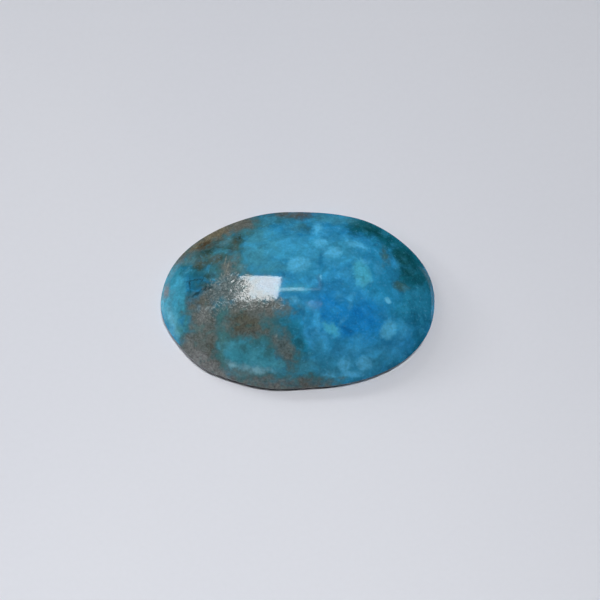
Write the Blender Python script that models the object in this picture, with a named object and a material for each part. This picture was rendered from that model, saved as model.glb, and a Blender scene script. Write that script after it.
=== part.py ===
"""A polished oval turquoise cabochon with grey-brown matrix, cut by hand from one piece of rough.

The stone lies on its flat back at z = 0, with its long way along X and its dome towards +Z.
The origin is the middle of the flat back. Lengths are in metres.
"""

import math

import bmesh
import bpy
from mathutils import Vector, noise

MM = 0.001

# Driving dimensions of the finished stone
LENGTH = 25.0 * MM
WIDTH = 16.7 * MM
HEIGHT = 4.4 * MM
GIRDLE_HEIGHT = 0.7 * MM  # the widest line of the stone, above its back
BACK_INSET = 0.12 * MM  # how far the short wall leans in from the girdle to the back
BACK_BEVEL = 0.3 * MM  # the ground edge that keeps the back from chipping

# The plan is a superellipse that a hand on a grinding wheel has left a little uneven.
PLAN_FULLNESS = 2.25  # 2 is a true ellipse, and more is squarer at the shoulders
# Each flat or swell: the bearing of its middle and its half width in degrees, and its share of the radius.
GRINDING = (
    ("long flat at the upper left", 148, 52, -0.063),
    ("flat at the upper right", 27, 28, -0.031),
    ("short flat at the lower left", 201, 22, -0.037),
    ("slow fall along the lower left", 232, 71, -0.010),
    ("swell below the middle", 254, 29, 0.024),
)

# The dome is low: its sides stay under 45 degrees nearly to the girdle, and its ends are a little rounder.
# A power of 0.5 is half an ellipsoid, and 1 a shallow bowl that meets the wall at a sharp corner.
SIDE_POWER = 0.97
END_POWER = 0.75

# Polishing by hand leaves the dome faintly wavy.
WAVE_HEIGHT = 0.035 * MM
WAVE_LENGTH = 6.0 * MM
WAVE_OFFSET = Vector((3.7, 1.9, 8.2))  # which stretch of the noise the waves are taken from

SPHERE_SUBDIVISIONS = 5  # 80 edges round the girdle

TURQUOISE = (0.035, 0.225, 0.330, 1.0)
MATRIX = (0.130, 0.120, 0.100, 1.0)


def clear_scene():
    for old in list(bpy.data.objects):
        bpy.data.objects.remove(old)


def swell(bearing, middle, half_width):
    """1 at the middle bearing, falling smoothly to 0 at half_width degrees to either side."""
    away = abs((bearing - middle + 180) % 360 - 180) / half_width
    return 0.5 + 0.5 * math.cos(math.pi * min(away, 1.0))


def oval_radius(angle, fullness):
    """The distance from the centre of a superellipse of the stone's length and width, at an angle."""
    along = abs(2 * math.cos(angle) / LENGTH) ** fullness
    across = abs(2 * math.sin(angle) / WIDTH) ** fullness
    return (along + across) ** (-1 / fullness)


def unevenness(angle):
    """How far the ground girdle stands outside a true ellipse at an angle, as a share of the radius."""
    bearing = math.degrees(angle)
    ground = 1 + sum(share * swell(bearing, middle, half) for _, middle, half, share in GRINDING)
    return ground * oval_radius(angle, PLAN_FULLNESS) / oval_radius(angle, 2) - 1


def unit_dome():
    """The upper half of a sphere of radius 1, open at its equator, with faces of much the same size."""
    mesh = bmesh.new()
    bmesh.ops.create_icosphere(mesh, subdivisions=SPHERE_SUBDIVISIONS, radius=1)
    everything = mesh.verts[:] + mesh.edges[:] + mesh.faces[:]
    bmesh.ops.bisect_plane(mesh, geom=everything, plane_no=(0, 0, 1), clear_inner=True, dist=1e-6)
    return mesh


def shape_plan(mesh):
    """Carries the round dome out to the oval and up to its height. The unevenness fades towards the top."""
    for vert in mesh.verts:
        angle = math.atan2(vert.co.y, vert.co.x)
        reach = vert.co.xy.length  # 0 at the top and 1 at the girdle
        stretch = oval_radius(angle, 2) * (1 + unevenness(angle) * reach**2)
        vert.co.x *= stretch
        vert.co.y *= stretch
        power = SIDE_POWER + (END_POWER - SIDE_POWER) * math.cos(angle) ** 2
        climb = max(vert.co.z, 0.0) ** (2 * power)
        vert.co.z = GIRDLE_HEIGHT + climb * (HEIGHT - GIRDLE_HEIGHT)


def fit_to_size(mesh):
    """Brings the plan to its exact length and width, centred on the origin."""
    for axis, size in ((0, LENGTH), (1, WIDTH)):
        low = min(vert.co[axis] for vert in mesh.verts)
        high = max(vert.co[axis] for vert in mesh.verts)
        for vert in mesh.verts:
            vert.co[axis] = (vert.co[axis] - (low + high) / 2) * size / (high - low)


def wave_the_dome(mesh):
    """Pushes the dome's skin in and out by the polisher's faint waves, which die out at girdle and top."""
    mesh.normal_update()
    for vert in mesh.verts:
        climb = (vert.co.z - GIRDLE_HEIGHT) / (HEIGHT - GIRDLE_HEIGHT)
        fade = 4 * climb * (1 - climb)
        vert.co += vert.normal * (WAVE_HEIGHT * fade * noise.noise(vert.co / WAVE_LENGTH + WAVE_OFFSET))


def close_the_back(mesh):
    """Draws the rim down to the flat back, closes it, and bevels its edge."""
    rim = [edge for edge in mesh.edges if edge.is_boundary]
    drawn = bmesh.ops.extrude_edge_only(mesh, edges=rim)["geom"]
    lean = 1 - 2 * BACK_INSET / WIDTH
    for vert in (item for item in drawn if isinstance(item, bmesh.types.BMVert)):
        vert.co = Vector((vert.co.x * lean, vert.co.y * lean, 0))
    back_edges = [edge for edge in mesh.edges if edge.is_boundary]
    bmesh.ops.contextual_create(mesh, geom=back_edges)
    bmesh.ops.bevel(
        mesh,
        geom=back_edges,
        offset=BACK_BEVEL,
        segments=2,
        profile=0.5,
        affect="EDGES",
        clamp_overlap=True,
        material=-1,
    )
    bmesh.ops.recalc_face_normals(mesh, faces=mesh.faces)


def stone_material():
    """Polished turquoise, clouded with matrix by one plain noise."""
    material = bpy.data.materials.new("polished_turquoise")
    material.use_nodes = True
    nodes, links = material.node_tree.nodes, material.node_tree.links
    polish = nodes["Principled BSDF"]
    polish.inputs["Roughness"].default_value = 0.15
    polish.inputs["Metallic"].default_value = 0.0
    clouds = nodes.new("ShaderNodeTexNoise")
    clouds.inputs["Scale"].default_value = 0.25 / MM
    ramp = nodes.new("ShaderNodeValToRGB")
    ramp.color_ramp.elements[0].position = 0.40
    ramp.color_ramp.elements[0].color = MATRIX
    ramp.color_ramp.elements[1].position = 0.50
    ramp.color_ramp.elements[1].color = TURQUOISE
    place = nodes.new("ShaderNodeTexCoord")
    links.new(place.outputs["Object"], clouds.inputs["Vector"])
    links.new(clouds.outputs["Fac"], ramp.inputs["Fac"])
    links.new(ramp.outputs["Color"], polish.inputs["Base Color"])
    return material


def make_cabochon():
    mesh = unit_dome()
    shape_plan(mesh)
    fit_to_size(mesh)
    wave_the_dome(mesh)
    close_the_back(mesh)
    data = bpy.data.meshes.new("cabochon")
    mesh.to_mesh(data)
    mesh.free()
    data.materials.append(stone_material())
    data.shade_smooth()
    data.set_sharp_from_angle(angle=math.radians(35))
    return bpy.data.objects.new("cabochon", data)


def main():
    clear_scene()
    collection = bpy.data.collections.new("turquoise_cabochon")
    bpy.context.scene.collection.children.link(collection)
    collection.objects.link(make_cabochon())


main()
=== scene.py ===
# %% [markdown]
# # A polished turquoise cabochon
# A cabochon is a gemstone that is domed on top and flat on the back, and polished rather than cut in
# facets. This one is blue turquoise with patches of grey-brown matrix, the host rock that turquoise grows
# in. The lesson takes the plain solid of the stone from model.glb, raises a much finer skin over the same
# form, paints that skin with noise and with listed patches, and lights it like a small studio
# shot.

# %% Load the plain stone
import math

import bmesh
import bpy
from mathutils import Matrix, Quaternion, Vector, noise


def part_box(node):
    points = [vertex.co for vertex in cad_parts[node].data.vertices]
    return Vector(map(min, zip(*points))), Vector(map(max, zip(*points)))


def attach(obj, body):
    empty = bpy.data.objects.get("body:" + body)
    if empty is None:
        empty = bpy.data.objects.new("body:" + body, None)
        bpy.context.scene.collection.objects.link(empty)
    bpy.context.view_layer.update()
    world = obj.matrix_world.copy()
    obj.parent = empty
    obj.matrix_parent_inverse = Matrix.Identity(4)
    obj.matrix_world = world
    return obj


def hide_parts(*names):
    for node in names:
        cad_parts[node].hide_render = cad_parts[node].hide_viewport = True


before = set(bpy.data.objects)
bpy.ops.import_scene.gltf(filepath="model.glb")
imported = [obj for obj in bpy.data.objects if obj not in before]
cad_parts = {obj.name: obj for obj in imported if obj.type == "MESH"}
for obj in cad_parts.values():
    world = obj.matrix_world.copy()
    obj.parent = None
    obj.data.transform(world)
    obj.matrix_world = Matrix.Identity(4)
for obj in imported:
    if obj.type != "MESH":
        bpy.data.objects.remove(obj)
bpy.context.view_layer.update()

# %% [markdown]
# Blender works in metres, and this stone is only 25 mm long. Its length, width and height are read from
# the loaded solid, so the fine stone can never drift away from the plain one. Everything that is drawn on
# the stone is then written in millimetres from the middle of its flat back, as a cutter would measure it.

MM = 0.001
lowest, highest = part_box("cabochon")
LENGTH, WIDTH, HEIGHT = highest - lowest
GIRDLE_HEIGHT = 0.7 * MM
print(f"The stone measures {LENGTH / MM:.1f} by {WIDTH / MM:.1f} by {HEIGHT / MM:.1f} mm")

# %% [markdown]
# A stone ground by hand isn't a true ellipse. Each stop at the wheel leaves a long flat or a slight
# swell, and those are what make an outline look cut by a person. The outline could be drawn point by
# point, but a formula is shorter: a superellipse, pushed in or out by a smooth bump wherever the wheel
# lingered.

# %% Describe the ground outline
PLAN_FULLNESS = 2.25
# Each flat or swell: the bearing of its middle and its half width in degrees, and its share of the
# radius.
GRINDING = (
    ("long flat at the upper left", 148, 52, -0.063),
    ("flat at the upper right", 27, 28, -0.031),
    ("short flat at the lower left", 201, 22, -0.037),
    ("slow fall along the lower left", 232, 71, -0.010),
    ("swell below the middle", 254, 29, 0.024),
)


def swell(bearing, middle, half_width):
    """1 at the middle bearing, falling smoothly to 0 at half_width degrees to either side."""
    away = abs((bearing - middle + 180) % 360 - 180) / half_width
    return 0.5 + 0.5 * math.cos(math.pi * min(away, 1.0))


def oval_radius(angle, fullness):
    """The distance from the centre of a superellipse of the stone's length and width, at an angle."""
    along = abs(2 * math.cos(angle) / LENGTH) ** fullness
    across = abs(2 * math.sin(angle) / WIDTH) ** fullness
    return (along + across) ** (-1 / fullness)


def unevenness(angle):
    """How far the ground girdle stands outside a true ellipse at an angle, as a share of the radius."""
    bearing = math.degrees(angle)
    ground = 1 + sum(share * swell(bearing, middle, half) for _, middle, half, share in GRINDING)
    return ground * oval_radius(angle, PLAN_FULLNESS) / oval_radius(angle, 2) - 1


print(f"The wheel stopped at {len(GRINDING)} places round the girdle")

# %% [markdown]
# The dome needs faces about a tenth of a millimetre across, so that pits and the edge of a reflection
# stay crisp. A UV sphere would crowd its faces at the top, where the lamp is reflected, so an icosphere
# is used: its faces are nearly equal. It is cut at its equator, which becomes the girdle, the widest line
# of the stone. Where the girdle is 1 away from the middle, the height is 1 less the distance squared,
# raised to a power. A power of 0.5 would give half an ellipsoid and 1 a shallow bowl, and this low dome
# is close to the bowl along its sides and a little rounder at its ends. The wheel was held at one slope
# all along the sides, so the skin curves down only as far as that slope and then runs straight to the
# girdle, which stands a little higher there. That matters to the look: a polished side steeper than
# about 36 degrees would mirror the pale card, and the real one doesn't. A hair of room is left all
# round, for the rounding of the girdle.

# %% Raise a fine dome
DOME_SUBDIVISIONS = 8
SIDE_POWER = 0.97
END_POWER = 0.75
STEEPEST_SIDE = 0.67  # how far the sides fall per millimetre outwards, where they are straight
STEEPEST_END = 1.27
END_NARROWNESS = 40  # a higher power keeps the steeper fall closer to the very ends
HALVINGS = 12
EDGE_RADIUS = 0.10 * MM
EDGE_START = math.radians(45)


def unit_dome():
    """The upper half of a sphere of radius 1, open at its equator."""
    mesh = bmesh.new()
    bmesh.ops.create_icosphere(mesh, subdivisions=DOME_SUBDIVISIONS, radius=1)
    everything = mesh.verts[:] + mesh.edges[:] + mesh.faces[:]
    bmesh.ops.bisect_plane(mesh, geom=everything, plane_no=(0, 0, 1), clear_inner=True, dist=1e-6)
    return mesh


def steepness(reach, power, angle):
    """How far the dome falls per millimetre of plan at a reach of 0 to 1 along an angle."""
    along = 4 * math.cos(angle) / LENGTH**2
    across = 4 * math.sin(angle) / WIDTH**2
    spread = oval_radius(angle, 2) * math.hypot(along, across)
    return 2 * power * reach * (1 - reach**2) ** (power - 1) * (HEIGHT - GIRDLE_HEIGHT) * spread


def straight_from(power, angle):
    """The reach at which the dome is as steep as the wheel was held, found by halving."""
    endwards = abs(math.cos(angle)) ** END_NARROWNESS
    steepest = STEEPEST_SIDE + (STEEPEST_END - STEEPEST_SIDE) * endwards
    low, high = 0.5, 1.0
    for _ in range(HALVINGS):
        middle = (low + high) / 2
        if steepness(middle, power, angle) < steepest:
            low = middle
        else:
            high = middle
    return low


def climb_at(reach, power, angle):
    """The dome's height as a share of the whole: a power curve, and then a straight run to the girdle."""
    start = straight_from(power, angle)
    curved = min(reach, start)
    slope = 2 * power * curved * (1 - curved**2) ** (power - 1)
    return (1 - curved**2) ** power - slope * max(reach - start, 0.0)


def shape_plan(mesh):
    """Carries the round dome out to the oval and up. The unevenness fades towards the top."""
    for vert in mesh.verts:
        angle = math.atan2(vert.co.y, vert.co.x)
        reach = vert.co.xy.length
        stretch = oval_radius(angle, 2) * (1 + unevenness(angle) * reach**2)
        vert.co.x *= stretch
        vert.co.y *= stretch
        power = SIDE_POWER + (END_POWER - SIDE_POWER) * math.cos(angle) ** 2
        climb = climb_at(min(reach, 1.0), power, angle)
        vert.co.z = GIRDLE_HEIGHT + climb * (HEIGHT - GIRDLE_HEIGHT)


def fit_to_size(mesh):
    """Brings the plan to its length and width, less room for the rounding, centred on the origin."""
    room = 2 * EDGE_RADIUS * (1 - math.sin(EDGE_START))
    for axis, size in ((0, LENGTH - room), (1, WIDTH - room)):
        low = min(vert.co[axis] for vert in mesh.verts)
        high = max(vert.co[axis] for vert in mesh.verts)
        for vert in mesh.verts:
            vert.co[axis] = (vert.co[axis] - (low + high) / 2) * size / (high - low)


stone_mesh = unit_dome()
shape_plan(stone_mesh)
fit_to_size(stone_mesh)
print(f"The dome has {len(stone_mesh.faces)} faces")

# %% [markdown]
# A dome polished on a leather wheel is never a perfect curve: it waves by a few hundredths of a
# millimetre. Nobody sees that in its outline, but it bends the edge of every reflection, which is how the
# eye tells a real stone from a plastic one. Each vertex is moved along its normal by a slow noise.

# %% Leave the polisher's faint waves
WAVE_HEIGHT = 0.035 * MM
WAVE_LENGTH = 6.0 * MM
WAVE_OFFSET = Vector((3.7, 1.9, 8.2))


def wave_the_dome(mesh):
    """Pushes the dome's skin in and out by slow waves, which fade towards the girdle and the top."""
    mesh.normal_update()
    for vert in mesh.verts:
        climb = (vert.co.z - GIRDLE_HEIGHT) / (HEIGHT - GIRDLE_HEIGHT)
        fade = 4 * climb * (1 - climb)
        vert.co += vert.normal * (WAVE_HEIGHT * fade * noise.noise(vert.co / WAVE_LENGTH + WAVE_OFFSET))


wave_the_dome(stone_mesh)
print(f"The waves are at most {WAVE_HEIGHT / MM} mm high")

# %% [markdown]
# A cutter breaks the corner at the girdle, because a sharp one chips. Below it the stone has a short
# wall, then a ground bevel, then the flat back. A bevel operator spikes on a rim as fine as this one,
# so the open rim is extruded step by step along that profile instead: out and over in short steps for
# the girdle, then each step a little lower and further in. A last flat ring goes inside the bevel: its
# faces hold the shading flat when the middle is filled.

# %% Round the girdle and close the back
EDGE_STEPS = 3
BACK_INSET = 0.12 * MM
BACK_BEVEL = 0.3 * MM
WALL_STEPS = 3
BEVEL_STEPS = 4
RING_WIDTH = 0.3 * MM


def extrude_rim(mesh):
    """Extrudes the open rim of a mesh in place, and gives its new vertices."""
    rim = [edge for edge in mesh.edges if edge.is_boundary]
    drawn = bmesh.ops.extrude_edge_only(mesh, edges=rim)["geom"]
    return [item for item in drawn if isinstance(item, bmesh.types.BMVert)]


def round_the_girdle(mesh):
    """Turns the skin over from the slope of the dome to the upright wall."""
    before = EDGE_START
    for step in range(1, EDGE_STEPS + 1):
        turn = EDGE_START + (math.radians(90) - EDGE_START) * step / EDGE_STEPS
        outwards = EDGE_RADIUS * (math.sin(turn) - math.sin(before))
        for vert in extrude_rim(mesh):
            vert.co.x *= 1 + 2 * outwards / LENGTH
            vert.co.y *= 1 + 2 * outwards / WIDTH
            vert.co.z -= EDGE_RADIUS * (math.cos(before) - math.cos(turn))
        before = turn


def back_profile():
    """How far in from the girdle, and how high above the back, each step of the rim goes."""
    for step in range(1, WALL_STEPS + 1):
        share = step / WALL_STEPS
        yield BACK_INSET * share, GIRDLE_HEIGHT + (BACK_BEVEL - GIRDLE_HEIGHT) * share
    for step in range(1, BEVEL_STEPS + 1):
        turn = math.radians(90 * step / BEVEL_STEPS)
        yield BACK_INSET + BACK_BEVEL * (1 - math.cos(turn)), BACK_BEVEL * (1 - math.sin(turn))
    yield BACK_INSET + BACK_BEVEL + RING_WIDTH, 0


def close_the_back(mesh):
    """Draws the rim down the wall and round the bevel, and fills the flat back."""
    inwards = 0
    for inset, height in back_profile():
        for vert in extrude_rim(mesh):
            vert.co.x *= (LENGTH / 2 - inset) / (LENGTH / 2 - inwards)
            vert.co.y *= (WIDTH / 2 - inset) / (WIDTH / 2 - inwards)
            vert.co.z = height
        inwards = inset
    bmesh.ops.contextual_create(mesh, geom=[edge for edge in mesh.edges if edge.is_boundary])
    bmesh.ops.recalc_face_normals(mesh, faces=mesh.faces)


round_the_girdle(stone_mesh)
close_the_back(stone_mesh)
print(f"With girdle, wall, bevel and back it has {len(stone_mesh.faces)} faces")

# %% [markdown]
# A mesh is only data until an object shows it. The object stays at the origin, unturned, because the
# pattern below is measured from there. It rides on the stone's own body and stands in for the plain
# solid.

# %% Turn the mesh into an object
stone_data = bpy.data.meshes.new("turquoise_stone")
stone_mesh.to_mesh(stone_data)
stone_mesh.free()
stone_data.shade_smooth()
stone = bpy.data.objects.new("turquoise_stone", stone_data)
bpy.context.scene.collection.objects.link(stone)
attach(stone, "root")
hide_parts("cabochon")
print(f"{stone.name} stands for the plain cabochon")

# %% [markdown]
# A stone's pattern is all formula: how near is this point to a patch, plus some noise, is it over a
# limit. Wiring that by hand takes hundreds of Math nodes. Here a small class wraps a node's output, so
# that a sum written in Python adds the Math node that does it, and one method adds any other kind of
# node.

# %% Write node formulas in Python
class Wire:
    """An output of a node. A sum written with it adds a Math node and gives that node's output."""

    def __init__(self, recipe, socket):
        self.recipe = recipe
        self.socket = socket

    def __add__(self, other):
        return self.recipe.math("ADD", self, other)

    def __sub__(self, other):
        return self.recipe.math("SUBTRACT", self, other)

    def __rsub__(self, other):
        return self.recipe.math("SUBTRACT", other, self)

    def __mul__(self, other):
        return self.recipe.math("MULTIPLY", self, other)


class Recipe:
    """A node tree to write in, for a material or for geometry nodes."""

    def __init__(self, tree):
        self.tree = tree

    def node(self, kind, settings, sockets, output=0):
        """Adds a node, sets its settings first, fills or links its sockets, and gives one output."""
        made = self.tree.nodes.new(kind)
        for name, setting in settings.items():
            setattr(made, name, setting)
        for name, value in sockets.items():
            socket = self.pick(made.inputs, name)
            if isinstance(value, Wire):
                self.tree.links.new(value.socket, socket)
            else:
                socket.default_value = value
        return Wire(self, self.pick(made.outputs, output)) if made.outputs else None

    def pick(self, sockets, name):
        """A socket by its number, or by its name the one in use, as a node may hide its namesakes."""
        if isinstance(name, int):
            return sockets[name]
        return next(socket for socket in sockets if socket.name == name and socket.enabled)

    def math(self, operation, *values):
        """Adds a Math node, which reckons with numbers."""
        return self.node("ShaderNodeMath", {"operation": operation}, dict(enumerate(values)))

    def vector(self, operation, *values, output="Vector"):
        """Adds a Vector Math node, which reckons with places, directions and colours."""
        sockets = dict(enumerate(values))
        return self.node("ShaderNodeVectorMath", {"operation": operation}, sockets, output)

    def scale(self, vector, factor):
        """A vector or a colour times a number."""
        return self.node("ShaderNodeVectorMath", {"operation": "SCALE"}, {0: vector, "Scale": factor})

    def between(self, low, high, value):
        """0 where the value is at low and 1 where it is at high, with a soft start and end."""
        sockets = {"Value": value, "From Min": low, "From Max": high}
        return self.node("ShaderNodeMapRange", {"interpolation_type": "SMOOTHSTEP"}, sockets, "Result")

    def mix(self, first, second, share):
        """The first colour where share is 0 and the second where it is 1."""
        sockets = {"Factor": share, "A": first, "B": second}
        return self.node("ShaderNodeMix", {"data_type": "RGBA"}, sockets, "Result")

    def noise(self, place, per_mm, detail=2.0):
        """Soft random hills between 0 and 1, so many to the millimetre."""
        sockets = {"Vector": place, "Scale": per_mm, "Detail": detail}
        return self.node("ShaderNodeTexNoise", {}, sockets, "Fac")

    def wander(self, place, per_mm, reach):
        """The place, pushed about in all directions by up to reach millimetres."""
        sockets = {"Vector": place, "Scale": per_mm, "Detail": 1.0}
        push = self.node("ShaderNodeTexNoise", {}, sockets, "Color")
        centred = self.vector("MULTIPLY_ADD", push, (2 * reach,) * 3, (-reach,) * 3)
        return self.vector("ADD", place, centred)

    def lumps(self, place, per_mm):
        """A tone between 0 and 1 for each lump of a soft mosaic, so many lumps to the millimetre."""
        sockets = {"Vector": place, "Scale": per_mm, "Smoothness": 0.8}
        tones = self.node("ShaderNodeTexVoronoi", {"feature": "SMOOTH_F1"}, sockets, "Color")
        return self.node("ShaderNodeSeparateColor", {}, {"Color": tones}, "Red")


print("Wire and Recipe are ready")

# %% [markdown]
# Real matrix doesn't fall where noise would put it. So the large patches are listed, as ellipses in plan
# with a centre, two half sizes and a turn, and noise only frays them. An ellipse runs right through the
# stone like a plug, as matrix does, so the pattern also reaches the wall and the back.

# %% Measure how near the next patch is
FAR_OUTSIDE = 99.0


def nearest_patch(recipe, place, patches):
    """How many millimetres a place is outside the nearest patch. Inside one, it is below 0."""
    nearest = FAR_OUTSIDE
    for x, y, half_length, half_width, turn in patches:
        sockets = {"Vector": place, "Center": (x, y, 0), "Angle": -math.radians(turn)}
        turned = recipe.node("ShaderNodeVectorRotate", {"rotation_type": "Z_AXIS"}, sockets)
        stretch = (1 / half_length, 1 / half_width, 0)
        centre = (-x / half_length, -y / half_width, 0)
        round_patch = recipe.vector("MULTIPLY_ADD", turned, stretch, centre)
        share = recipe.vector("LENGTH", round_patch, output="Value")
        away = recipe.math("MULTIPLY_ADD", share, half_width, -half_width)
        nearest = recipe.math("MINIMUM", away, nearest)
    return nearest


print("Patches are measured in millimetres from the middle of the back")

# %% [markdown]
# Matrix is the grey-brown rock round the turquoise. On this stone it makes a band down the left, a block
# in the middle with a spur below it, and a crust along the lower and the upper left rim. One function
# gives the distance to it, because three things need it: the carving, the colour and the polish.

# %% Place the matrix
MATRIX_PATCHES = (
    (-8.4, -2.8, 2.4, 1.1, 92),  # the band down the left
    (-9.1, -4.9, 1.7, 1.5, 0),
    (-8.2, -6.4, 2.0, 1.0, -38),  # its foot, which reaches the rim
    (-8.7, -0.8, 1.2, 0.6, 12),  # its head
    (-7.3, -0.1, 1.2, 0.8, 10),  # the pitted zone, which runs on under the lamp's reflection
    (-6.0, 0.4, 1.1, 1.3, 0),
    (-4.9, 0.1, 1.0, 1.2, 0),
    (-6.4, 1.9, 1.2, 0.45, 72),
    (-3.8, -1.6, 2.5, 0.95, -4),  # the block in the middle, in its pale and its dark half
    (-2.5, -1.8, 0.9, 0.6, 8),
    (-4.7, -2.9, 1.9, 1.15, 0),
    (-3.9, -3.5, 1.4, 0.6, -4),
    (-1.9, -4.3, 0.7, 0.45, -50),  # the spur below it
    (-1.1, -5.1, 1.2, 0.65, -62),
    (-7.0, -7.1, 1.4, 0.5, -25),  # the crust along the lower rim
    (-5.0, -7.9, 2.2, 0.6, -13),
    (-2.2, -8.25, 2.6, 0.7, -2),
    (0.9, -8.3, 2.0, 0.6, 5),
    (-10.5, 4.4, 1.2, 0.38, 42),  # the crust along the upper left rim
    (-8.8, 5.4, 1.6, 0.75, 36),
    (-7.0, 6.5, 1.7, 0.85, 27),
    (-5.3, 7.1, 1.3, 0.9, 15),
)
MATRIX_FRAY = 1.5
MATRIX_GRAIN = 0.25


def matrix_edge(recipe, place):
    """How far outside the matrix a place is, in millimetres. The edge wanders and frays."""
    frayed = (recipe.noise(place, 1.4, 1.5) - 0.5) * MATRIX_FRAY
    grainy = (recipe.noise(place, 5.0, 1.0) - 0.5) * MATRIX_GRAIN
    return nearest_patch(recipe, recipe.wander(place, 0.8, 0.35), MATRIX_PATCHES) + frayed + grainy


print(f"Matrix has {len(MATRIX_PATCHES)} patches")

# %% [markdown]
# Turquoise takes a higher polish than its softer matrix, so the wheel leaves the matrix a hair lower and
# tears small pits in it. Pits have to be real geometry to catch the light from any side. Geometry nodes
# share the noise of the shader nodes, so the same function carves exactly where the colour will be.
# The fraying and both depths are in millimetres.

# %% Sink and pit the matrix
PITTED_ZONE = ((-6.6, 0.2, 1.9, 1.3, 8), (-7.9, -1.5, 1.2, 0.9, 60), (-4.6, -1.2, 1.8, 0.3, -4))
PITTED_FRAY = 1.2
UNDERCUT = 0.004
PIT_DEPTH = 0.020


def pitted_share(recipe, place):
    """1 in the middle of the pitted zone and 0 well outside it."""
    frayed = (recipe.noise(place, 2.0, 3.0) - 0.5) * PITTED_FRAY
    return recipe.between(0.6, -0.3, nearest_patch(recipe, place, PITTED_ZONE) + frayed)


def carve(stone):
    """Moves the skin inwards along its normals where there is matrix, and keeps that as the mesh."""
    tree = bpy.data.node_groups.new("sink_the_matrix", "GeometryNodeTree")
    for way in ("INPUT", "OUTPUT"):
        tree.interface.new_socket("Geometry", in_out=way, socket_type="NodeSocketGeometry")
    recipe = Recipe(tree)
    skin = recipe.node("NodeGroupInput", {}, {})
    place = recipe.scale(recipe.node("GeometryNodeInputPosition", {}, {}), 1 / MM)
    is_matrix = recipe.between(0.35, -0.35, matrix_edge(recipe, place))
    pits = recipe.between(0.58, 0.72, recipe.noise(place, 2.8, 2.0)) * pitted_share(recipe, place)
    depth = is_matrix * (pits * PIT_DEPTH + UNDERCUT)
    inwards = recipe.scale(recipe.node("GeometryNodeInputNormal", {}, {}), depth * -MM)
    moved = recipe.node("GeometryNodeSetPosition", {}, {"Geometry": skin, "Offset": inwards})
    recipe.node("NodeGroupOutput", {}, {"Geometry": moved})
    stone.modifiers.new("sink_the_matrix", "NODES").node_group = tree
    evaluated = stone.evaluated_get(bpy.context.evaluated_depsgraph_get())
    carved = bpy.data.meshes.new_from_object(evaluated)
    stone.modifiers.clear()
    stone.data = carved


carve(stone)
print(f"The carved stone has {len(stone.data.polygons)} faces")
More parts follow.
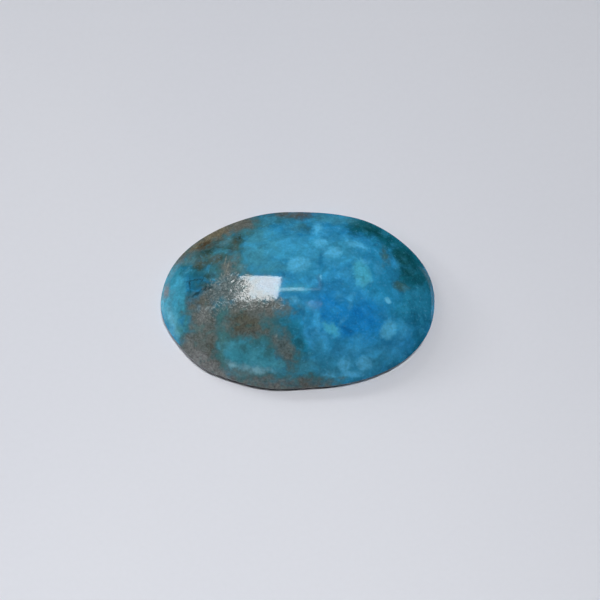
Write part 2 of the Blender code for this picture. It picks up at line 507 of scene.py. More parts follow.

# %% [markdown]
# The blue isn't one blue. It is cyan at the left end, deepest right of the middle, teal and nearly green
# at the upper right, and dark beside the matrix. A painter would lay thin washes over each other, and so
# does this table: each wash has a colour, a strength, a softness in millimetres, and the patches that it
# covers. A few washes also hold painted light: a painted sheen at the cyan left end and its lower rim,
# painted shade at the dark upper and lower right rims, and a painted glow under the line of light.

# %% Lay the blue washes
AZURE = (0.028, 0.290, 0.550, 1)
DEEPER_AZURE = (0.022, 0.245, 0.500, 1)
WASH_FRAY = 2.2  # how far the edge of a wash frays, for each millimetre of its softness
BLUE_WASHES = (
    ("green ground of the lower left", (0.058, 0.178, 0.192, 1), 0.95, 1.0, (
        (-5.4, -3.6, 4.6, 2.6, 0), (-6.5, -5.6, 3.0, 1.6, 0), (-4.0, -7.2, 4.0, 1.0, -5),
    )),
    ("pale upper middle", (0.050, 0.335, 0.520, 1), 0.75, 1.1, (
        (-1.6, 4.3, 2.2, 1.8, 0), (0.8, 3.7, 2.0, 1.6, 0), (3.6, 4.1, 2.0, 1.2, 0),
        (0.3, 2.2, 1.6, 0.9, 0),
    )),
    ("deep blue right of the middle", (0.010, 0.245, 0.610, 1), 0.95, 0.9, (
        (5.0, -2.6, 2.8, 1.6, -12), (3.0, -1.3, 1.4, 0.8, 0), (6.4, -1.3, 1.2, 0.8, 0),
    )),
    ("mid blue further right", (0.021, 0.275, 0.505, 1), 0.85, 1.0, (
        (7.6, 1.0, 1.5, 2.2, 0), (9.4, -1.2, 1.6, 1.4, 0), (7.2, 4.1, 1.4, 0.9, 0),
    )),
    ("duller blue along the bottom", (0.033, 0.245, 0.405, 1), 0.92, 0.9, (
        (2.6, -6.4, 3.4, 1.2, 0), (6.4, -6.3, 2.4, 0.9, 20), (1.5, -5.2, 1.2, 0.8, 0),
    )),
    ("clear blue above it", (0.034, 0.290, 0.560, 1), 0.80, 0.7, (
        (5.2, -5.1, 1.8, 0.5, 8), (9.2, -4.2, 1.0, 0.5, 50),
    )),
    # Partly the stone's own dark blue and partly painted shade along the lower right rim.
    ("dark lower right rim", (0.005, 0.088, 0.165, 1), 0.92, 0.45, (
        (6.2, -7.7, 2.0, 0.45, 17), (8.8, -6.6, 1.8, 0.5, 30), (10.9, -4.8, 1.8, 0.55, 48),
    )),
    ("teal right end", (0.018, 0.230, 0.385, 1), 0.92, 0.8, (
        (11.0, -0.4, 1.6, 2.0, 0), (9.8, -1.4, 0.9, 0.9, 0),
    )),
    ("darker teal below it", (0.009, 0.155, 0.280, 1), 0.92, 0.6, (
        (10.9, -2.2, 1.0, 0.8, 0), (11.1, -3.4, 1.2, 0.8, 60),
    )),
    # Partly the stone's own dark teal and partly painted shade along the upper right rim.
    ("dark teal at the upper right", (0.006, 0.128, 0.188, 1), 0.97, 0.6, (
        (6.2, 6.9, 1.9, 1.1, -18), (8.3, 5.6, 1.8, 1.0, -36), (10.2, 3.9, 1.9, 1.2, -48),
        (10.6, 2.0, 1.6, 1.4, 0),
    )),
    ("nearly green within it", (0.006, 0.086, 0.104, 1), 0.90, 0.6, (
        (9.6, 3.7, 1.4, 0.7, -50), (10.2, 2.3, 0.5, 0.5, 0), (6.5, 6.4, 1.4, 0.55, -16),
        (5.9, 7.2, 1.0, 0.3, -15),
    )),
    ("teal along the upper right rim", (0.010, 0.165, 0.240, 1), 0.85, 0.35, (
        (11.5, 2.2, 1.4, 0.3, -68), (9.9, 5.0, 1.8, 0.25, -42), (9.5, 1.2, 0.5, 0.4, 0),
    )),
    ("teal along the top", (0.038, 0.178, 0.235, 1), 0.92, 0.6, (
        (-1.6, 7.6, 2.4, 0.8, 3), (-3.6, 7.0, 1.8, 0.8, 10), (0.1, 6.6, 1.0, 0.6, 0),
        (1.9, 7.6, 1.1, 0.5, 0), (4.9, 7.4, 0.8, 0.3, -15),
    )),
    ("grey-brown smudge at the top", (0.098, 0.108, 0.104, 1), 0.95, 0.4, (
        (0.1, 8.0, 1.4, 0.5, 0), (-1.2, 8.1, 0.9, 0.3, 0),
    )),
    ("blue at the top", (0.050, 0.285, 0.430, 1), 0.88, 0.4, (
        (3.3, 7.5, 1.2, 0.6, -6),
    )),
    ("teal left of the pale middle", (0.052, 0.258, 0.350, 1), 0.88, 0.9, (
        (-3.9, 5.6, 1.3, 1.4, 0), (-4.0, 3.2, 1.3, 1.4, 0), (-3.2, 1.9, 1.9, 0.7, 0),
        (-2.3, 4.3, 0.4, 0.5, 0),
    )),
    ("dark blue spots", (0.010, 0.165, 0.350, 1), 0.75, 0.35, (
        (-1.2, 1.4, 0.6, 0.2, 0), (2.1, 0.7, 0.45, 0.2, 80), (2.2, 2.5, 0.5, 0.4, 60),
        (3.0, 0.9, 0.4, 0.3, 0), (2.3, 3.3, 0.5, 0.25, 80),
    )),
    ("teal beside the block", (0.019, 0.240, 0.400, 1), 0.97, 0.6, (
        (-0.5, -3.5, 1.0, 1.1, 0), (0.1, -4.9, 1.0, 1.3, 0),
    )),
    ("dark green in it", (0.016, 0.114, 0.150, 1), 0.76, 0.75, (
        (-0.6, -4.1, 0.9, 0.4, -50), (0.0, -5.1, 0.55, 0.9, 8), (-2.0, -3.0, 0.8, 0.3, -20),
    )),
    ("olive teal below it", (0.045, 0.215, 0.295, 1), 0.92, 0.6, (
        (0.1, -6.5, 1.5, 0.9, 0), (1.6, -7.4, 1.6, 0.5, 0), (-0.9, -7.1, 1.2, 0.5, 0),
    )),
    # Partly the stone's own cyan and partly a painted sheen of light from the left.
    ("cyan left end", (0.048, 0.300, 0.430, 1), 0.97, 0.6, (
        (-11.3, 0.4, 1.3, 3.1, 0),
    )),
    ("dull blue above it", (0.014, 0.140, 0.200, 1), 0.92, 0.5, (
        (-9.4, 2.2, 1.3, 0.8, -10), (-10.2, 3.1, 0.8, 0.4, 40),
    )),
    # Partly the stone's own pale cyan and partly a painted reflection along the lower left rim.
    ("bright cyan on the lower left rim", (0.130, 0.500, 0.690, 1), 0.95, 0.55, (
        (-11.6, -1.9, 1.3, 0.5, -62), (-10.8, -3.3, 0.8, 0.4, -50),
    )),
    ("green beside the band", (0.050, 0.225, 0.250, 1), 0.85, 0.4, (
        (-10.5, -3.1, 0.7, 0.45, 105), (-10.1, -2.3, 0.8, 0.4, 100), (-9.9, -1.6, 0.6, 0.4, 30),
    )),
    ("inky blue", (0.012, 0.135, 0.215, 1), 0.92, 0.4, (
        (-9.2, 1.0, 0.9, 0.6, 0), (-8.6, 1.7, 0.7, 0.4, -30), (-9.6, 0.2, 0.5, 0.3, 30),
    )),
    ("green ground of the upper left", (0.043, 0.155, 0.165, 1), 0.97, 0.8, (
        (-7.4, 3.9, 2.5, 1.4, 20), (-5.8, 4.6, 0.95, 1.45, 0), (-7.3, 2.0, 1.3, 1.0, 0),
        (-5.6, 2.4, 0.7, 0.9, 0), (-7.4, 5.2, 2.6, 0.8, 27), (-5.3, 6.1, 0.9, 0.6, 0),
        (-9.6, 4.2, 0.9, 0.4, 40),
    )),
    ("blue lights in it", (0.100, 0.230, 0.260, 1), 0.88, 0.3, (
        (-9.5, 3.6, 0.9, 0.4, 10), (-6.7, 5.0, 0.9, 0.35, 18), (-5.9, 3.2, 0.4, 0.5, 0),
        (-5.2, 2.1, 0.5, 0.5, 0),
    )),
    ("dark greens in it", (0.027, 0.050, 0.038, 1), 0.90, 0.35, (
        (-8.2, 4.3, 1.1, 0.4, 24), (-5.5, 5.4, 0.7, 0.3, 75), (-6.2, 3.9, 0.6, 0.25, 80),
        (-8.8, 2.6, 0.6, 0.2, 0), (-8.1, 0.7, 0.6, 0.25, 20), (-7.8, 1.7, 0.4, 0.25, 0),
        (-6.9, 5.6, 0.8, 0.2, 28),
    )),
    ("brown patches in it", (0.074, 0.088, 0.066, 1), 0.88, 0.35, (
        (-7.4, 3.3, 0.8, 0.5, -10), (-8.8, 3.1, 0.6, 0.35, 0), (-6.6, 2.8, 0.6, 0.35, 65),
        (-5.7, 4.5, 0.5, 0.3, 80),
    )),
    ("teal pool below the block", (0.048, 0.280, 0.372, 1), 0.97, 0.5, (
        (-4.3, -5.5, 2.6, 1.2, -4),
    )),
    ("lights in the pool", (0.076, 0.360, 0.475, 1), 0.85, 0.3, (
        (-1.8, -6.4, 0.8, 0.35, -15), (-5.9, -4.7, 0.8, 0.3, 5), (-4.0, -5.9, 0.7, 0.4, 60),
        (-3.3, -6.3, 0.6, 0.3, 0),
    )),
    ("darks in the pool", (0.040, 0.160, 0.192, 1), 0.90, 0.35, (
        (-3.2, -4.9, 0.9, 0.35, -10), (-2.5, -5.3, 0.6, 0.6, 0), (-2.7, -7.2, 0.9, 0.3, -8),
        (-4.9, -4.9, 0.5, 0.3, 0),
    )),
    ("pale strip below the pool", (0.215, 0.440, 0.530, 1), 0.95, 0.3, (
        (-4.6, -6.8, 1.8, 0.4, -3), (-6.0, -6.3, 0.5, 0.3, -30),
    )),
    ("green gap between band and block", (0.080, 0.205, 0.196, 1), 0.94, 0.5, (
        (-6.7, -2.8, 1.9, 0.4, 92), (-7.0, -5.4, 1.0, 0.35, 100),
    )),
    ("dull teal under the reflection", (0.085, 0.190, 0.290, 1), 0.90, 0.4, (
        (-2.9, 0.2, 1.4, 1.0, 0),
    )),
    # Painted reflection: a soft cyan glow round the mirrored line of light, laid over the stone's blue.
    ("cyan under the line of light", (0.060, 0.375, 0.540, 1), 0.90, 0.4, (
        (-0.5, 0.1, 1.3, 0.35, 0),
    )),
)


def wash(recipe, place, frayed, under, colour, strength, softness, patches):
    """Lays a colour over what is under it, full in the patches and fading out over their soft edges."""
    nearest = nearest_patch(recipe, place, patches)
    edge = recipe.math("MULTIPLY_ADD", frayed, WASH_FRAY * softness, nearest)
    return recipe.mix(under, colour, recipe.between(softness, -softness, edge) * strength)


def washed_blue(recipe, place):
    """Two tones of azure, with every blue wash over them."""
    frayed = recipe.noise(place, 1.6, 3.0) - 0.5
    drift = recipe.between(0.35, 0.65, recipe.noise(place, 0.6, 2.0))
    blue = recipe.mix(AZURE, DEEPER_AZURE, drift)
    for _, colour, strength, softness, patches in BLUE_WASHES:
        blue = wash(recipe, place, frayed, blue, colour, strength, softness, patches)
    return blue


print(f"{len(BLUE_WASHES)} blue washes")

# %% [markdown]
# Turquoise grows as tiny rounded lumps, and the polished cut through them shows as pale clouds about a
# millimetre across. The clouds that catch the eye are placed one by one, with the same washes. A soft
# mosaic of lumps and a sprinkle of pale flecks come over everything, because no part of the stone is of
# one even tone.

# %% Cloud the blue
SKY = (0.050, 0.350, 0.590, 1)
PALE_FLECK = (0.100, 0.400, 0.640, 1)
SKY_STRENGTH = 0.20
FLECK_STRENGTH = 0.38
LARGE_LUMPS = 0.28
SMALL_LUMPS = 0.30
DARKEST_LUMP = 0.71
CLOUDS = (
    ("faint clouds", (0.050, 0.360, 0.630, 1), 0.62, 0.32, (
        (-1.0, 4.6, 0.8, 0.55, 20), (1.0, 3.6, 0.9, 0.55, 80), (0.7, 4.6, 0.5, 0.4, 0),
        (3.2, 2.5, 0.6, 0.35, 0), (9.4, -3.2, 0.7, 0.45, 80), (2.1, -4.4, 0.8, 0.35, -50),
        (7.0, -5.3, 0.9, 0.35, 12), (5.3, -4.2, 0.6, 0.2, 0), (5.0, -5.1, 0.7, 0.3, 0),
        (0.9, -1.5, 0.4, 0.4, 0), (2.4, 5.9, 0.5, 0.3, 0), (4.4, 1.7, 0.6, 0.4, 30),
        (1.0, 0.7, 0.7, 0.3, 0), (3.7, -0.5, 0.5, 0.4, 0), (7.3, 2.2, 0.5, 0.7, 0),
    )),
    ("bright clouds", (0.092, 0.475, 0.760, 1), 0.88, 0.24, (
        (1.8, 6.3, 0.6, 0.45, 80), (2.1, 4.7, 0.6, 0.5, 0), (3.2, 3.7, 0.7, 0.55, 5),
        (0.1, 2.4, 1.0, 0.7, 5), (5.3, 4.6, 0.9, 0.38, -22), (8.1, -3.3, 0.9, 0.65, 50),
        (5.9, 1.0, 0.6, 0.4, 0), (6.0, 2.9, 0.4, 0.25, 0),
    )),
    ("cool clouds", (0.050, 0.370, 0.690, 1), 0.85, 0.28, (
        (1.65, -2.8, 1.0, 0.42, 95), (2.3, -4.0, 0.5, 0.3, -50), (1.0, -4.2, 0.6, 0.25, -70),
    )),
    ("milky clouds low down", (0.090, 0.440, 0.720, 1), 0.85, 0.25, (
        (4.2, -6.4, 0.7, 0.55, 0), (6.0, -6.2, 0.65, 0.6, 0), (-0.3, -1.0, 0.6, 0.3, -25),
        (0.3, -1.7, 0.4, 0.15, -60), (4.8, -7.2, 1.1, 0.3, 8), (2.8, -7.2, 0.7, 0.3, 0),
    )),
    ("pale green clouds", (0.070, 0.450, 0.640, 1), 0.92, 0.28, (
        (5.7, 1.8, 1.3, 0.75, 102), (3.0, -3.5, 0.75, 0.5, -35), (5.9, 1.2, 0.6, 0.4, 0),
    )),
    ("pale streak", (0.060, 0.400, 0.720, 1), 0.75, 0.22, (
        (4.8, -0.9, 0.4, 0.2, 75), (4.65, -1.6, 0.35, 0.2, 60), (4.1, -2.6, 0.45, 0.12, 48),
    )),
    ("deepest blue", (0.006, 0.195, 0.530, 1), 0.80, 0.3, (
        (4.4, -3.6, 0.5, 0.45, 0), (5.5, -2.0, 0.8, 0.45, 0), (3.0, -1.3, 0.6, 0.25, 0),
        (6.3, -2.7, 0.5, 0.3, 0), (2.3, -2.2, 0.3, 0.3, 0),
    )),
    ("dark blue below the line of light", (0.011, 0.175, 0.360, 1), 0.80, 0.35, (
        (0.6, -2.2, 0.8, 0.4, -30),
    )),
    ("brown spots at the right", (0.044, 0.136, 0.146, 1), 0.92, 0.28, (
        (7.95, 3.6, 0.8, 0.35, 95), (9.25, 0.7, 0.6, 0.4, -20),
    )),
)


def clouded_blue(recipe, place, blue):
    """Lays the clouds over the blue, and breaks all of it up into small lumps and pale flecks."""
    frayed = recipe.noise(place, 2.2, 1.0) - 0.5
    for _, colour, strength, softness, patches in CLOUDS:
        blue = wash(recipe, place, frayed, blue, colour, strength, softness, patches)
    lumps = recipe.lumps(place, 1.1)
    blue = recipe.mix(blue, SKY, recipe.between(0.5, 0.9, lumps) * SKY_STRENGTH)
    flecks = recipe.between(0.53, 0.80, recipe.noise(place, 4.6, 3.0))
    blue = recipe.mix(blue, PALE_FLECK, flecks * FLECK_STRENGTH)
    shade = lumps * LARGE_LUMPS + recipe.lumps(place, 2.4) * SMALL_LUMPS + DARKEST_LUMP
    return recipe.scale(blue, shade)


print(f"{sum(len(cloud[4]) for cloud in CLOUDS)} clouds and spots are placed by hand")

# %% [markdown]
# The matrix has its own tones: pale where clay fills it, nearly black where iron stains it, blue-grey in
# the pitted zone, tan and rust along the upper rim. They are washes too. Small islands of green turquoise
# and a fine grain run through all of them.

# %% Tone the matrix
MATRIX_GREY = (0.122, 0.146, 0.140, 1)
GREEN_ISLAND = (0.055, 0.168, 0.175, 1)
ISLAND_STRENGTH = 0.4
ROCK_GRAIN = 1.5
ROCK_LUMPS = 0.34
DARKEST_GRAIN = 0.08
MATRIX_WASHES = (
    ("pale grey", (0.168, 0.185, 0.184, 1), 0.88, 0.4, (
        (-8.5, -2.1, 0.8, 0.5, 80), (-9.7, -4.6, 1.1, 0.5, -60),
    )),
    ("paler grey at the foot", (0.205, 0.215, 0.220, 1), 0.92, 0.4, (
        (-8.4, -6.0, 1.8, 0.7, -32), (-6.3, -7.3, 1.4, 0.35, -22),
    )),
    ("brown-grey top of the block", (0.128, 0.144, 0.138, 1), 0.90, 0.4, (
        (-3.2, -1.7, 1.9, 0.5, -5),
    )),
    ("blue-grey spur", (0.100, 0.152, 0.162, 1), 0.88, 0.4, (
        (-1.4, -4.7, 1.2, 0.5, -60),
    )),
    ("dark grey", (0.100, 0.110, 0.096, 1), 0.90, 0.35, (
        (-4.4, -3.3, 1.8, 0.75, 0), (-7.7, -4.9, 0.8, 0.35, 85), (-9.0, -0.8, 0.9, 0.35, 10),
        (-5.7, -2.5, 0.4, 0.5, 0),
    )),
    ("olive", (0.098, 0.098, 0.070, 1), 0.80, 0.4, (
        (-4.9, -2.4, 0.7, 0.4, 0), (-4.3, -3.1, 0.6, 0.3, 0), (-5.6, -3.4, 0.5, 0.3, 30),
    )),
    ("blue-grey pits", (0.090, 0.136, 0.145, 1), 0.85, 0.5, (
        (-6.3, 0.3, 1.8, 1.3, 0),
    )),
    ("lower crust", (0.140, 0.152, 0.154, 1), 0.90, 0.4, (
        (-2.0, -7.9, 4.6, 0.6, -2),
    )),
    ("browner crust at the bottom", (0.110, 0.118, 0.108, 1), 0.90, 0.4, (
        (1.0, -7.9, 1.8, 0.5, 3),
    )),
    ("grey upper crust", (0.132, 0.138, 0.120, 1), 0.92, 0.4, (
        (-6.2, 6.8, 2.0, 0.8, 25), (-10.4, 4.3, 1.2, 0.6, 40),
    )),
    ("tan", (0.160, 0.142, 0.092, 1), 0.92, 0.35, (
        (-7.7, 5.9, 1.6, 0.55, 34), (-9.2, 5.0, 0.9, 0.4, 35),
    )),
    ("rust", (0.072, 0.044, 0.016, 1), 0.95, 0.28, (
        (-8.5, 5.0, 0.6, 0.25, 30), (-8.0, 4.85, 0.6, 0.15, 25),
    )),
)


def toned_matrix(recipe, place):
    """Grey rock with its own washes, green islands and grain."""
    frayed = recipe.noise(place, 1.9, 3.0) - 0.5
    tone = MATRIX_GREY
    for _, colour, strength, softness, patches in MATRIX_WASHES:
        tone = wash(recipe, place, frayed, tone, colour, strength, softness, patches)
    islands = recipe.between(0.54, 0.70, recipe.noise(place, 1.5, 3.0)) * ISLAND_STRENGTH
    tone = recipe.mix(tone, GREEN_ISLAND, islands)
    grain = recipe.noise(place, 5.5, 3.0) * ROCK_GRAIN + recipe.lumps(place, 2.2) * ROCK_LUMPS
    return recipe.scale(tone, grain + DARKEST_GRAIN)


print(f"{len(MATRIX_WASHES)} tones in the matrix")

# %% [markdown]
# Last come the small marks that make this stone this stone: short dark cracks at the left, two cream
# streaks, a few pale specks, white flecks at the right and near the middle, a grey spot at the left
# end and a stain of rust in the upper crust. They are drawn like the patches, only much smaller and
# most of them sharper.

# %% Add cracks, streaks and specks
MARKS = (
    ("black cracks", (0.012, 0.038, 0.045, 1), 0.90, 0.10, (
        (-9.75, 0.9, 0.5, 0.06, 95), (-9.1, 0.0, 0.6, 0.14, 22), (-8.2, 0.4, 0.5, 0.16, 15),
        (-9.3, 1.3, 0.5, 0.05, 5), (-8.6, 1.3, 0.3, 0.05, 60), (-7.9, -0.3, 0.3, 0.06, 40),
    )),
    ("cream streaks", (0.300, 0.300, 0.240, 1), 0.55, 0.07, (
        (-6.55, 2.9, 0.4, 0.05, 80), (-6.3, 2.3, 0.35, 0.04, 75),
    )),
    ("pale specks", (0.240, 0.310, 0.320, 1), 0.60, 0.06, (
        (-7.4, 0.6, 0.25, 0.05, 85), (-6.9, 0.75, 0.2, 0.05, 60), (-7.1, 0.9, 0.2, 0.04, 0),
        (-8.1, -1.4, 0.2, 0.12, 30), (-7.5, -1.3, 0.2, 0.1, 60), (-1.9, -4.1, 0.14, 0.08, 80),
        (-6.5, -0.5, 0.15, 0.06, 0),
    )),
    ("white flecks", (0.140, 0.570, 0.840, 1), 0.95, 0.10, (
        (8.1, -0.72, 0.32, 0.2, -30), (7.9, -0.55, 0.12, 0.08, 0), (2.08, 1.15, 0.14, 0.06, 90),
    )),
    ("grey spot at the left end", (0.215, 0.235, 0.260, 1), 0.90, 0.22, (
        (-11.95, 0.6, 0.6, 0.25, 84),
    )),
    ("rust stain", (0.058, 0.038, 0.017, 1), 0.80, 0.28, (
        (-8.5, 4.95, 0.5, 0.18, 30), (-7.95, 4.8, 0.5, 0.1, 22),
    )),
)


def marked(recipe, place, colour):
    """The colour with every small mark on it."""
    frayed = recipe.noise(place, 4.0, 2.0) - 0.5
    for _, mark, strength, softness, patches in MARKS:
        colour = wash(recipe, place, frayed, colour, mark, strength, softness, patches)
    return colour


print(f"{sum(len(mark[4]) for mark in MARKS)} small marks")

# %% [markdown]
# Now the layers are put together. Close to the matrix the blue turns darker and greener, because the two
# grew into each other. The polish follows the same masks: the turquoise is glossy, the matrix a little
# duller, and the ground back duller still. In the pitted zone the small high places are polished like the
# rest and only the pits are rough, which breaks the lamp's reflection into bright specks.

# %% Mix the stone's material
MATRIX_FRINGE = (0.040, 0.150, 0.170, 1)
FRINGE_STRENGTH = 0.6
FINE_GRAIN = 0.56
DARKEST_POINT = 0.72
# Painted shade: the share by which the colour is darkened below the girdle.
PAINTED_WALL_SHADE = 0.2
POLISHED = 0.07
DULLER_MATRIX = 0.05
ROUGH_PITS = 0.35
GROUND_BACK = 0.3
PIT_BUMP = 0.012 * MM
STONE_IOR = 1.5


def finish_stone(stone):
    """Gives the stone its pattern and polish."""
    material = bpy.data.materials.new("polished_turquoise")
    material.use_nodes = True
    recipe = Recipe(material.node_tree)
    shader = material.node_tree.nodes["Principled BSDF"]
    place = recipe.scale(recipe.node("ShaderNodeTexCoord", {}, {}, "Object"), 1 / MM)
    height = recipe.node("ShaderNodeSeparateXYZ", {}, {"Vector": place}, "Z")
    drifted = recipe.wander(recipe.wander(place, 0.9, 0.30), 3.4, 0.07)
    edge = matrix_edge(recipe, place)
    is_matrix = recipe.between(0.55, -0.45, edge)
    blue = clouded_blue(recipe, drifted, washed_blue(recipe, drifted))
    blue = recipe.mix(blue, MATRIX_FRINGE, recipe.between(0.75, 0.1, edge) * FRINGE_STRENGTH)
    colour = recipe.mix(blue, toned_matrix(recipe, drifted), is_matrix)
    colour = marked(recipe, recipe.wander(place, 3.0, 0.12), colour)
    colour = recipe.scale(colour, recipe.noise(place, 5.0, 2.0) * FINE_GRAIN + DARKEST_POINT)
    # Painted shade: the colour is made darker from just above the girdle down the wall and over the back.
    colour = recipe.scale(colour, 1 - recipe.between(0.80, 0.5, height) * PAINTED_WALL_SHADE)
    pits = recipe.between(0.50, 0.60, recipe.noise(place, 5.5, 1.0)) * pitted_share(recipe, place)
    ground = recipe.between(0.5, 0.2, height)
    roughness = is_matrix * DULLER_MATRIX + pits * ROUGH_PITS + ground * GROUND_BACK + POLISHED
    bump_sockets = {"Strength": 1.0, "Distance": PIT_BUMP, "Height": 1 - pits}
    bump = recipe.node("ShaderNodeBump", {}, bump_sockets, "Normal")
    links = material.node_tree.links
    links.new(colour.socket, shader.inputs["Base Color"])
    links.new(roughness.socket, shader.inputs["Roughness"])
    links.new(bump.socket, shader.inputs["Normal"])
    shader.inputs["IOR"].default_value = STONE_IOR
    stone.data.materials.clear()
    stone.data.materials.append(material)
    return material


stone_material = finish_stone(stone)
print(f"The stone's material has {len(stone_material.node_tree.nodes)} nodes")

# %% [markdown]
# The stone lies on a round sheet of pale card, on a dark bench. The bench is a wide disc whose edge
# sweeps up like the paper roll of a studio, so that a low view has no hard horizon. Both start as a
# circle. The card's rim is extruded down by its thickness, and the bench's round a quarter turn, with the
# helper of the back.

# %% Lay the card on the bench
CARD_RADIUS = 0.15
CARD_THICKNESS = 0.5 * MM
BENCH_RADIUS = 0.60
SWEEP_RADIUS = 0.14
SWEEP_STEPS = 12
STAGE_SEGMENTS = 96


def make_stage(name, radius, height, profile):
    """A flat disc at a height, with its rim drawn out and up along a profile."""
    mesh = bmesh.new()
    bmesh.ops.create_circle(mesh, cap_ends=True, segments=STAGE_SEGMENTS, radius=radius)
    bmesh.ops.translate(mesh, verts=mesh.verts, vec=(0, 0, height))
    for outwards, upwards in profile:
        for vert in extrude_rim(mesh):
            flat = vert.co.xy.normalized() * (radius + outwards)
            vert.co = (flat.x, flat.y, height + upwards)
    bmesh.ops.recalc_face_normals(mesh, faces=mesh.faces)
    data = bpy.data.meshes.new(name)
    mesh.to_mesh(data)
    mesh.free()
    piece = bpy.data.objects.new(name, data)
    bpy.context.scene.collection.objects.link(piece)
    return piece


turns = [math.radians(90 * step / SWEEP_STEPS) for step in range(1, SWEEP_STEPS + 1)]
sweep = [(SWEEP_RADIUS * math.sin(turn), SWEEP_RADIUS * (1 - math.cos(turn))) for turn in turns]
card = make_stage("card", CARD_RADIUS, 0, [(0, -CARD_THICKNESS)])
bench = make_stage("bench", BENCH_RADIUS, -CARD_THICKNESS, sweep)
bench.data.shade_smooth()
bench_width = 2 * (BENCH_RADIUS + SWEEP_RADIUS)
print(f"The card is {2 * CARD_RADIUS:.2f} m across and the bench {bench_width:.2f} m")

# %% [markdown]
# Card looks even, but never is: its tone drifts a little from place to place, and its fibres give it a
# tooth that is only just there. Both come from noise so weak that the eye reads them as paper and not as
# a pattern. The bench is painted the same way in two dark greys.

# %% Finish the card and the bench
CARD_TONES = ((0.770, 0.789, 0.856, 1), (0.792, 0.809, 0.870, 1))
BENCH_TONES = ((0.030, 0.031, 0.034, 1), (0.042, 0.042, 0.044, 1))
FIBRE_TONE = 0.03
DARKEST_FIBRE = 0.985
FIBRE_BUMP = 0.01 * MM
FIBRE_ROUGHNESS = 0.1
DULLNESS = 0.85


def finish_stage(piece, tones):
    """Gives card or bench its drifting tone, its fibres and its dull surface."""
    material = bpy.data.materials.new(f"dull_{piece.name}")
    material.use_nodes = True
    recipe = Recipe(material.node_tree)
    shader = material.node_tree.nodes["Principled BSDF"]
    place = recipe.scale(recipe.node("ShaderNodeTexCoord", {}, {}, "Object"), 1 / MM)
    fibres = recipe.noise(place, 2.2, 4.0)
    drift = recipe.between(0.3, 0.7, recipe.noise(place, 0.02, 2.0))
    colour = recipe.scale(recipe.mix(*tones, drift), fibres * FIBRE_TONE + DARKEST_FIBRE)
    bump_sockets = {"Strength": 0.3, "Distance": FIBRE_BUMP, "Height": fibres}
    bump = recipe.node("ShaderNodeBump", {}, bump_sockets, "Normal")
    roughness = fibres * FIBRE_ROUGHNESS + DULLNESS
    links = material.node_tree.links
    links.new(colour.socket, shader.inputs["Base Color"])
    links.new(roughness.socket, shader.inputs["Roughness"])
    links.new(bump.socket, shader.inputs["Normal"])
    shader.inputs["Specular IOR Level"].default_value = 0.0
    piece.data.materials.append(material)
    return material


for piece, tones in ((card, CARD_TONES), (bench, BENCH_TONES)):
    stage_material = finish_stage(piece, tones)
    print(f"{stage_material.name} has {len(stage_material.node_tree.nodes)} nodes")

# %% [markdown]
# A polished stone shows two things at once: the light that its colour gives back, and a mirror image of
# the lamps. They are easier to set one at a time. So the lamps here are seen only in the polish and
# light nothing, and those of the next step light the stone and the card but are never mirrored. A
# rectangle that faces the stone gives the crisp white window on the dome. A strip overhead and its
# fainter end give the fine line beside it, a narrow upright lamp the small light where that line ends,
# and a dim panel low down the faint sheen on the left end.

# %% Place the mirrored lamps
def area_light(name, place, size, power, aim=(0, 0, 0), turn=0, colour=(1, 1, 1)):
    """A rectangular lamp at a place that faces the aim, turned about its own axis by so many degrees."""
    lamp = bpy.data.lights.new(name, "AREA")
    lamp.shape = "RECTANGLE"
    lamp.size, lamp.size_y = size
    lamp.energy = power
    lamp.color = colour
    holder = bpy.data.objects.new(name, lamp)
    bpy.context.scene.collection.objects.link(holder)
    holder.location = place
    holder.rotation_mode = "QUATERNION"
    facing = (Vector(aim) - Vector(place)).to_track_quat("-Z", "Y")
    holder.rotation_quaternion = facing @ Quaternion((0, 0, 1), math.radians(turn))
    return holder


def direction(azimuth, elevation, distance):
    """The place at an azimuth and elevation in degrees, so far from the stone."""
    around = math.radians(azimuth)
    up = math.radians(elevation)
    level = math.cos(up)
    return Vector((math.cos(around) * level, math.sin(around) * level, math.sin(up))) * distance


SOFTBOX_PLACE = direction(134.1, 67.5, 0.35)
SOFTBOX_SIZE = (0.107, 0.161)
SOFTBOX_TURN = 132.9
OVERHEAD = Vector((0, 0, 0.315))
STRIP_PLACE = Vector((-0.0110, 0.0817, 0)) + OVERHEAD
END_PLACE = Vector((0.0325, 0.0827, 0)) + OVERHEAD
UPRIGHT_PLACE = Vector((0.0525, 0.137, 0)) + OVERHEAD
DAYLIGHT = (0.65, 0.90, 1.0)
STRIP_TURN = 1.5
mirrored = (
    area_light("softbox", SOFTBOX_PLACE, SOFTBOX_SIZE, 0.70, turn=SOFTBOX_TURN),
    area_light(
        "strip", STRIP_PLACE, (0.056, 0.019), 0.019, STRIP_PLACE - OVERHEAD, STRIP_TURN, DAYLIGHT,
    ),
    area_light(
        "strip_end", END_PLACE, (0.031, 0.010), 0.0022, END_PLACE - OVERHEAD, STRIP_TURN, DAYLIGHT,
    ),
    area_light("upright", UPRIGHT_PLACE, (0.004, 0.115), 0.002, aim=UPRIGHT_PLACE - OVERHEAD),
    area_light("panel", (-0.45, 0.0, 0.11), (0.4, 0.10), 0.06),
)
for lamp in mirrored:
    lamp.visible_diffuse = False
print(f"{len(mirrored)} lamps are seen in the polish only")

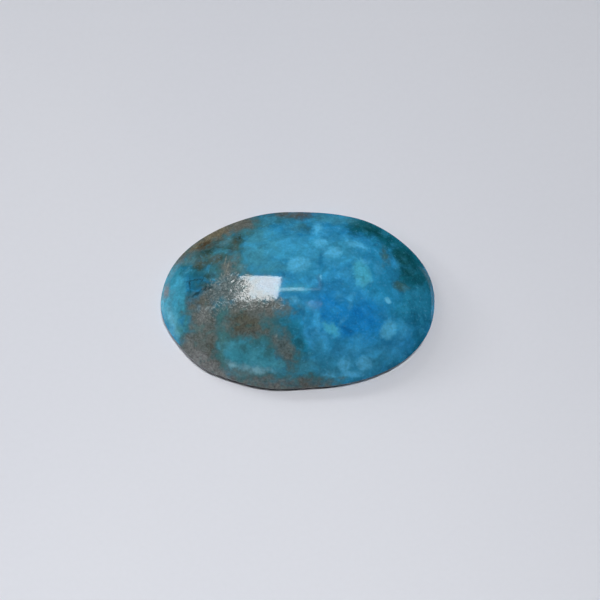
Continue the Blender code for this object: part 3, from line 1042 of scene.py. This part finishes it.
# %% [markdown]
# The card in the photograph is darkest along the top and brightest at the lower left, and the stone's
# soft shadow falls to the right. Two lamps from the left make that shadow, light from above fills it,
# and a lamp with a narrow spread, aimed in front of the stone and to its left, makes the slow fall of
# brightness across the card.

# %% Place the lamps that light the stone
lighting = (
    area_light("fill", SOFTBOX_PLACE, SOFTBOX_SIZE, 0.076, turn=SOFTBOX_TURN),
    area_light("window", direction(139, 29, 0.60), (0.257, 0.257), 0.93),
    area_light("low_window", direction(161, 19, 0.60), (0.091, 0.091), 0.75),
    area_light("overhead", (0.040, -0.006, 0.400), (0.05, 0.05), 0.160, aim=(-0.026, -0.066, 0)),
)
overhead = lighting[-1]
overhead.data.spread = math.radians(70)
for lamp in lighting:
    lamp.visible_glossy = False
print(f"{len(lighting)} lamps light the stone and the card")

# %% [markdown]
# The rest of the room is nearly dark, as it is round a photographer's table: the polish would mirror a
# bright one and turn the blue milky. The Standard view transform keeps the blues as strong as they were
# painted.

# %% Dim the room
ROOM_TONE = (0.95, 0.97, 1.0, 1)
ROOM_STRENGTH = 0.03
world = bpy.data.worlds.new("studio")
bpy.context.scene.world = world
world.use_nodes = True
background = world.node_tree.nodes["Background"]
background.inputs["Color"].default_value = ROOM_TONE
background.inputs["Strength"].default_value = ROOM_STRENGTH
bpy.context.scene.view_settings.view_transform = "Standard"
print("The room is nearly dark")

# %% [markdown]
# The photograph looks down on the stone from 15 degrees off the vertical, from close by. A long lens at a
# short distance gives the same slight perspective, so that the stone fills as much of the frame as it
# did.

# %% Set up the camera
CAMERA_TILT = math.radians(15)
CAMERA_DISTANCE = 152.9 * MM
CAMERA_TARGET = Vector((0.213, 0.159, 0.043)) * MM
camera_data = bpy.data.cameras.new("camera")
camera_data.lens = 100
camera_data.sensor_width = 36
camera_data.clip_start = 0.001
camera_data.clip_end = 10
camera = bpy.data.objects.new("camera", camera_data)
bpy.context.scene.collection.objects.link(camera)
back = Vector((0, -math.sin(CAMERA_TILT), math.cos(CAMERA_TILT)))
camera.location = CAMERA_TARGET + back * CAMERA_DISTANCE
camera.rotation_euler = (CAMERA_TILT, 0, 0)
bpy.context.scene.camera = camera
print(f"The camera is {CAMERA_DISTANCE / MM:.1f} mm away")
